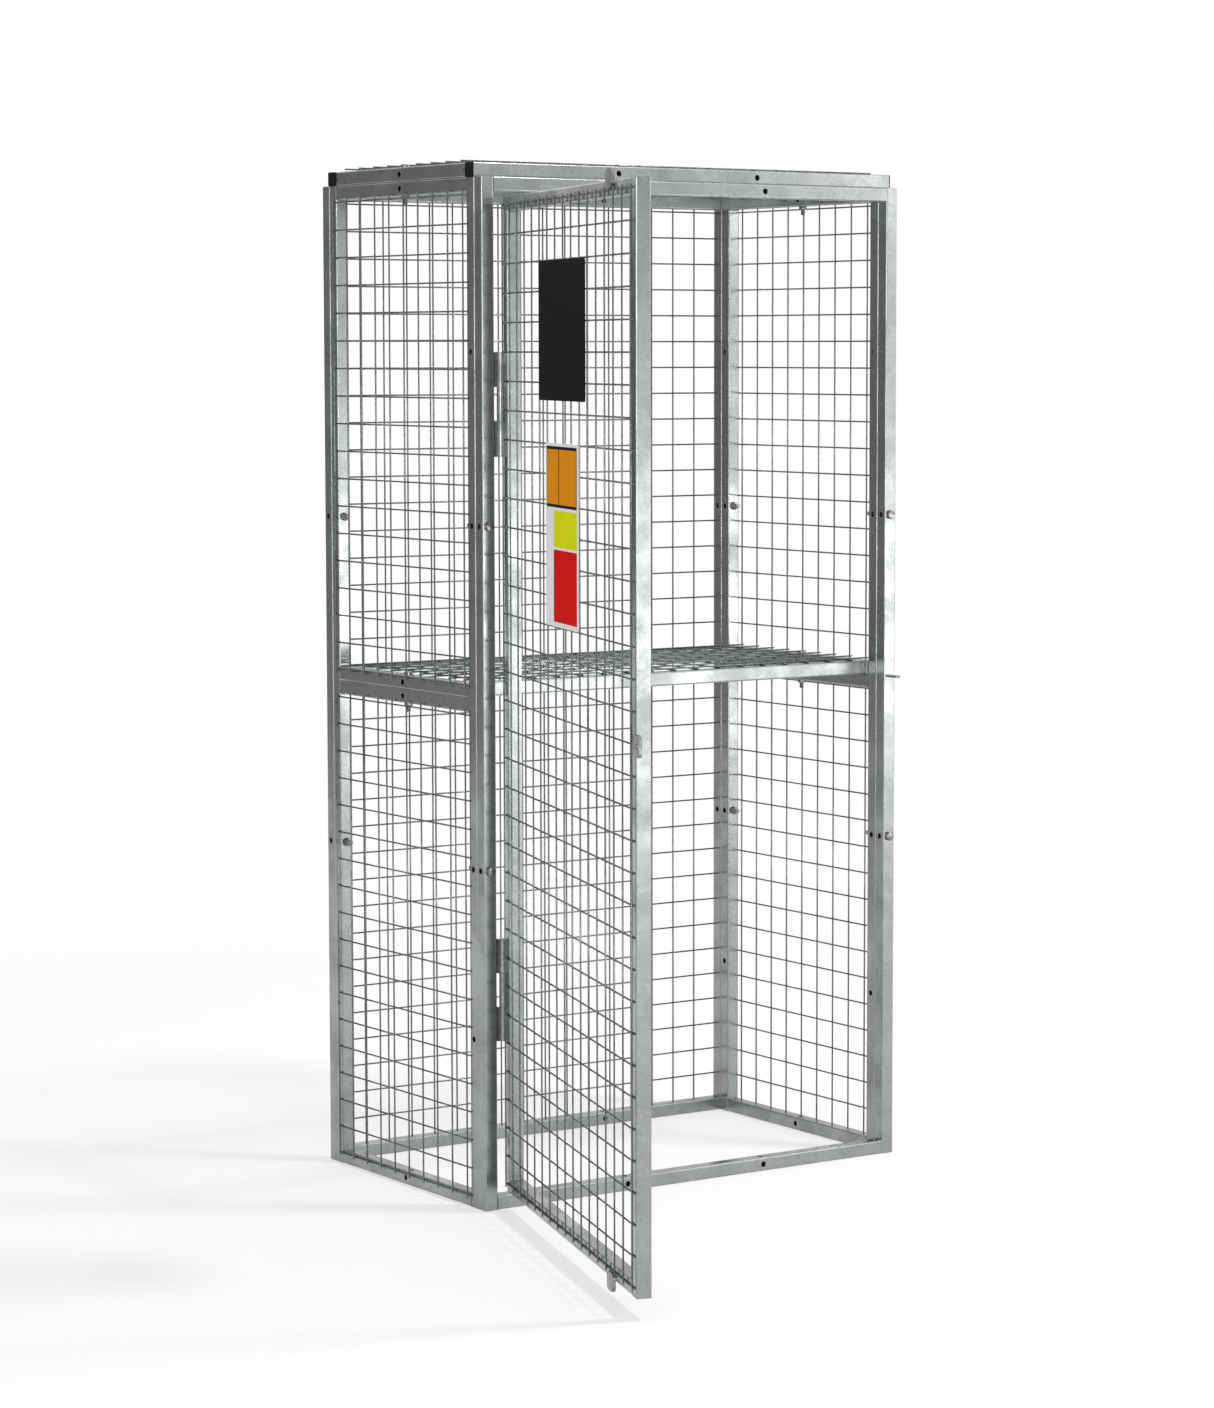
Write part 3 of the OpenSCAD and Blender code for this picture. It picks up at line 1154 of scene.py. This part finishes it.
class Welding:
    """Works out where the frames are welded and models the beads."""

    def cage_beads(self) -> list[Bead]:
        """Lists the beads of the fixed frames.

        Returns:
            The beads, in the axes of the frame.
        """
        inner_x = SIZES.half_width - SIZES.tube
        inner_y = SIZES.half_depth - SIZES.tube
        low, high = SIZES.tube, SIZES.top_rail
        roof_z = SIZES.height + SIZES.tube / 2
        shelf_z = SIZES.shelf + SIZES.tube / 2
        shelf_y = SIZES.half_depth - SIZES.shelf_inset
        beads = []
        for x in (-1, 1):
            for y in (-1, 1):
                for z in (low, SIZES.shelf - SIZES.tube, high):
                    beads.append(Bead(Vector((x * SIZES.post_x, y * inner_y, z)), Along.X))
                for z in (low, high):
                    middle = Vector((x * inner_x, y * (SIZES.half_depth + SIZES.tube / 2), z))
                    beads.append(Bead(middle, Along.Y))
                beads.append(Bead(Vector((x * inner_x, y * inner_y, roof_z)), Along.Z))
                for edge in (shelf_y, shelf_y - SIZES.tube):
                    beads.append(Bead(Vector((x * inner_x, y * edge, shelf_z)), Along.Z))
        return beads

    def door_beads(self) -> list[Bead]:
        """Lists the beads of the door.

        Returns:
            The beads, with X from the hinge side, Y up and Z out of the door.
        """
        beads = []
        for across in (SIZES.tube, SIZES.door_width - SIZES.tube):
            for up in (SIZES.door_low + SIZES.tube, SIZES.door_high - SIZES.tube):
                beads.append(Bead(Vector((across, up, -SIZES.tube / 2)), Along.Z))
        return beads

    def build(self) -> None:
        """Models the beads of both bodies."""
        WeldBeads("frame_weld_beads", Body.CAGE, self.cage_beads()).build()
        WeldBeads("door_weld_beads", Body.DOOR, self.door_beads(), door_place()).build()


@dataclass
class ColourField:
    """One printed field of the sign, a thin film on the board."""

    name: str
    finish: Finish
    across: Span
    up: Span
    film: float = 0.15 * MM
    rim: float = 0.05 * MM
    corner: float = 2.0 * MM
    raised: float = 0.0

    def build(self, base: float) -> Piece:
        """Models the film on the outer face of the door.

        Args:
            base: The distance of the board's face from the face of the door.

        Returns:
            The film.
        """
        deselect()
        width, height = self.across[1] - self.across[0], self.up[1] - self.up[0]
        middle = (sum(self.across) / 2, sum(self.up) / 2, base + self.raised + self.film / 2)
        bpy.ops.mesh.primitive_cube_add(size=1, location=middle)
        film = bpy.context.active_object
        film.scale = (width, height, self.film)
        settle(film)
        bevel_uprights(film, self.corner, steps=5)
        bevel_faces(film, TOP, self.rim, steps=1)
        film.name = self.name
        film.data.name = self.name
        settle(film, door_place())
        smooth(film, 30.0)
        dress(film, self.finish)
        seat(film, Body.DOOR)
        return film


@dataclass
class SignBoard:
    """The white board on the door, with plain colour fields and no words."""

    board: float = 2.0 * MM
    left: float = 319.0 * MM
    column: float = 363.0 * MM
    right: float = 507.0 * MM
    divider: float = 396.5 * MM
    side_line: float = 3.0 * MM
    end_line: float = 5.0 * MM
    divider_line: float = 4.5 * MM
    orange_up: Span = (1247.5 * MM, 1347.0 * MM)
    yellow_up: Span = (1182.5 * MM, 1242.5 * MM)
    red_up: Span = (1060.0 * MM, 1178.5 * MM)
    layer: float = 0.15 * MM
    inner_corner: float = 1.0 * MM

    def fields(self) -> list[ColourField]:
        """Lists the fields of the sign.

        Returns:
            The fields, from the top down.
        """
        low, high = self.orange_up
        inner_up = (low + self.end_line, high - self.end_line)
        half = self.divider_line / 2
        return [
            ColourField("sign_top_border", Finish.INK, (self.left, self.right), self.orange_up),
            ColourField("sign_top_left", Finish.ORANGE,
                        (self.left + self.side_line, self.divider - half), inner_up,
                        corner=self.inner_corner, raised=self.layer),
            ColourField("sign_top_right", Finish.ORANGE,
                        (self.divider + half, self.right - self.side_line), inner_up,
                        corner=self.inner_corner, raised=self.layer),
            ColourField("sign_middle", Finish.YELLOW, (self.column, self.right), self.yellow_up),
            ColourField("sign_bottom", Finish.RED, (self.column, self.right), self.red_up),
        ]

    def build(self) -> None:
        """Models the fields on the face of the board."""
        face = SIZES.mesh_thickness + self.board
        for printed in self.fields():
            printed.build(face)


class FramePieces:
    """The solids of the frame that stay as they are."""

    special: ClassVar[dict[str, Finish]] = {
        "roof_end_caps": Finish.PLASTIC,
        "black_board": Finish.BLACK,
        "sign_board": Finish.WHITE,
    }
    plate_words: ClassVar[tuple[str, ...]] = ("hinge", "staple", "tabs", "latch")

    def finish_of(self, node: str) -> Finish:
        """Picks the finish of a node.

        Args:
            node: The node's name.

        Returns:
            The finish.
        """
        if node in self.special:
            return self.special[node]
        if "mesh" in node:
            return Finish.WIRE
        if any(word in node for word in self.plate_words):
            return Finish.PLATE
        return Finish.TUBE

    def build(self) -> None:
        """Gives every solid its finish."""
        for node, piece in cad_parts.items():
            finish = self.finish_of(node)
            dress(piece, finish)
            LOG.info("%s wears %s", node, finish.value.name)


@dataclass(frozen=True)
class Lamp:
    """A soft flat lamp."""

    name: str
    place: Point
    aim: Point
    size: Span
    watts: float
    # Whether only the shine of the metal shows it
    gloss_only: bool = True

    def hang(self) -> None:
        """Makes the lamp."""
        data = bpy.data.lights.new(self.name, "AREA")
        data.shape = "RECTANGLE"
        data.size, data.size_y = self.size
        data.energy = self.watts
        lamp = bpy.data.objects.new(self.name, data)
        lamp.location = self.place
        way = Vector(self.aim) - Vector(self.place)
        lamp.rotation_euler = way.to_track_quat("-Z", "Y").to_euler()
        lamp.visible_camera = False
        lamp.visible_diffuse = not self.gloss_only
        bpy.context.scene.collection.objects.link(lamp)


@dataclass(frozen=True)
class Card:
    """A grey card beside the object, that only the shine of the metal shows."""

    name: str
    middle: Point
    size: Span
    # Turn about Z, from a card that faces the front
    degrees: float
    grey: float

    def stand(self) -> None:
        """Makes the card."""
        deselect()
        bpy.ops.mesh.primitive_plane_add(size=1, location=self.middle,
                                         rotation=(math.pi / 2, 0, math.radians(self.degrees)))
        card = bpy.context.active_object
        card.name = self.name
        card.scale = (*self.size, 1)
        matt = Graph(self.name, metallic=0.0, roughness=1.0, specular=0.0)
        matt.shader.inputs["Base Color"].default_value = (self.grey, self.grey, self.grey, 1)
        card.data.materials.append(matt.material)
        card.visible_camera = False
        card.visible_diffuse = False
        card.visible_shadow = False


LAMPS = (
    Lamp("key", place=(1.7, -1.9, 5.4), aim=(0.0, 0.0, 0.9), size=(0.6, 0.6), watts=125,
         gloss_only=False),
    Lamp("right_softbox", place=(3.45, -2.85, 2.68), aim=(0.2, -0.2, 1.0), size=(1.8, 1.8),
         watts=36),
    Lamp("low_strip", place=(2.5, -8.0, 0.45), aim=(0.0, 0.0, 0.5), size=(13.0, 0.9), watts=165),
    Lamp("left_softbox", place=(-5.6, -8.2, 1.6), aim=(0.0, 0.0, 1.0), size=(2.6, 3.2), watts=240),
)
CARDS = (
    Card("back_left_card", middle=(-4.2, 4.6, 1.6), size=(6.5, 4.4), degrees=52, grey=0.27),
    Card("front_card", middle=(0.25, -9.5, 2.6), size=(12.5, 2.2), degrees=0, grey=0.75),
    Card("back_card", middle=(5.0, 13.5, 1.15), size=(24.0, 2.3), degrees=-20, grey=0.08),
)


@dataclass
class Studio:
    """Camera, lamps, cards, floor and backdrop."""

    camera_place: Vector = field(default_factory=lambda: Vector((-4.0081, -6.0121, 1.5015)))
    heading: float = math.radians(34.716)
    dip: float = math.radians(5.27)
    focal_px: float = 3909.7
    axis_px: Span = (681.6, 711.8)
    sensor_mm: float = 36.0
    far_clip: float = 200.0
    ambient: float = 0.8
    floor_size: float = 60.0
    floor_tone: float = 0.95
    # Share of plain white in the floor under the object, and the distances from the
    # middle at which the fade to full white starts and ends
    near_white: float = 0.52
    fade: Span = (1.8, 4.0)

    def camera(self) -> None:
        """Puts the camera where the photograph was taken from."""
        data = bpy.data.cameras.new("camera")
        data.sensor_fit = "HORIZONTAL"
        data.sensor_width = self.sensor_mm
        data.lens = self.focal_px / PHOTO_WIDTH_PX * data.sensor_width
        data.shift_x = (PHOTO_WIDTH_PX / 2 - self.axis_px[0]) / PHOTO_WIDTH_PX
        data.shift_y = (self.axis_px[1] - PHOTO_HEIGHT_PX / 2) / PHOTO_WIDTH_PX
        data.clip_end = self.far_clip
        camera = bpy.data.objects.new("camera", data)
        camera.location = self.camera_place
        camera.rotation_euler = (math.pi / 2 - self.dip, 0.0, -self.heading)
        bpy.context.scene.collection.objects.link(camera)
        bpy.context.scene.camera = camera

    def sees_background(self, tree: bpy.types.NodeTree) -> Socket:
        """Tells rays from the camera, and those through or off gloss, from the rest.

        Args:
            tree: The node tree that asks.

        Returns:
            A socket of 1 for such a ray and 0 for another.
        """
        path = tree.nodes.new("ShaderNodeLightPath")
        total = path.outputs["Is Camera Ray"]
        for kind in ("Is Glossy Ray", "Is Transmission Ray"):
            node = tree.nodes.new("ShaderNodeMath")
            node.operation = "MAXIMUM"
            tree.links.new(total, node.inputs[0])
            tree.links.new(path.outputs[kind], node.inputs[1])
            total = node.outputs[0]
        return total

    def world(self) -> None:
        """Makes a white backdrop that lights the object softly."""
        world = bpy.data.worlds.new("studio")
        bpy.context.scene.world = world
        tree = bare_tree(world)
        soft = tree.nodes.new("ShaderNodeBackground")
        soft.inputs["Strength"].default_value = self.ambient
        white = tree.nodes.new("ShaderNodeBackground")
        for backdrop in (soft, white):
            backdrop.inputs["Color"].default_value = (1, 1, 1, 1)
        output = tree.nodes.new("ShaderNodeOutputWorld")
        mix_surfaces(tree, self.sees_background(tree), (soft, white), output)

    def floor(self) -> None:
        """Lays a pale floor that keeps the shadow and turns white further off."""
        deselect()
        bpy.ops.mesh.primitive_plane_add(size=self.floor_size)
        plane = bpy.context.active_object
        plane.name = "floor"
        material = bpy.data.materials.new("pale_floor")
        tree = bare_tree(material)
        matt = tree.nodes.new("ShaderNodeBsdfDiffuse")
        matt.inputs["Color"].default_value = (*(self.floor_tone,) * 3, 1)
        white = tree.nodes.new("ShaderNodeEmission")
        coords = tree.nodes.new("ShaderNodeTexCoord")
        length = tree.nodes.new("ShaderNodeVectorMath")
        length.operation = "LENGTH"
        tree.links.new(coords.outputs["Object"], length.inputs[0])
        spread = tree.nodes.new("ShaderNodeMapRange")
        spread.interpolation_type = "SMOOTHSTEP"
        for index, value in enumerate((*self.fade, self.near_white, 1.0), start=1):
            spread.inputs[index].default_value = value
        tree.links.new(length.outputs["Value"], spread.inputs[0])
        share = tree.nodes.new("ShaderNodeMath")
        share.operation = "MULTIPLY"
        tree.links.new(spread.outputs[0], share.inputs[0])
        tree.links.new(self.sees_background(tree), share.inputs[1])
        output = tree.nodes.new("ShaderNodeOutputMaterial")
        mix_surfaces(tree, share.outputs[0], (matt, white), output)
        plane.data.materials.append(material)

    def build(self) -> None:
        """Sets up the picture."""
        bpy.context.scene.view_settings.view_transform = "Standard"
        self.camera()
        self.world()
        self.floor()
        for lamp in LAMPS:
            lamp.hang()
        for card in CARDS:
            card.stand()


def main() -> None:
    """Builds the studio and every piece."""
    logging.basicConfig(level=logging.INFO, format="%(name)s: %(message)s")
    Studio().build()
    FramePieces().build()
    MeshWork().build()
    Fasteners().build()
    Welding().build()
    SignBoard().build()


if __name__ == "__main__":
    main()
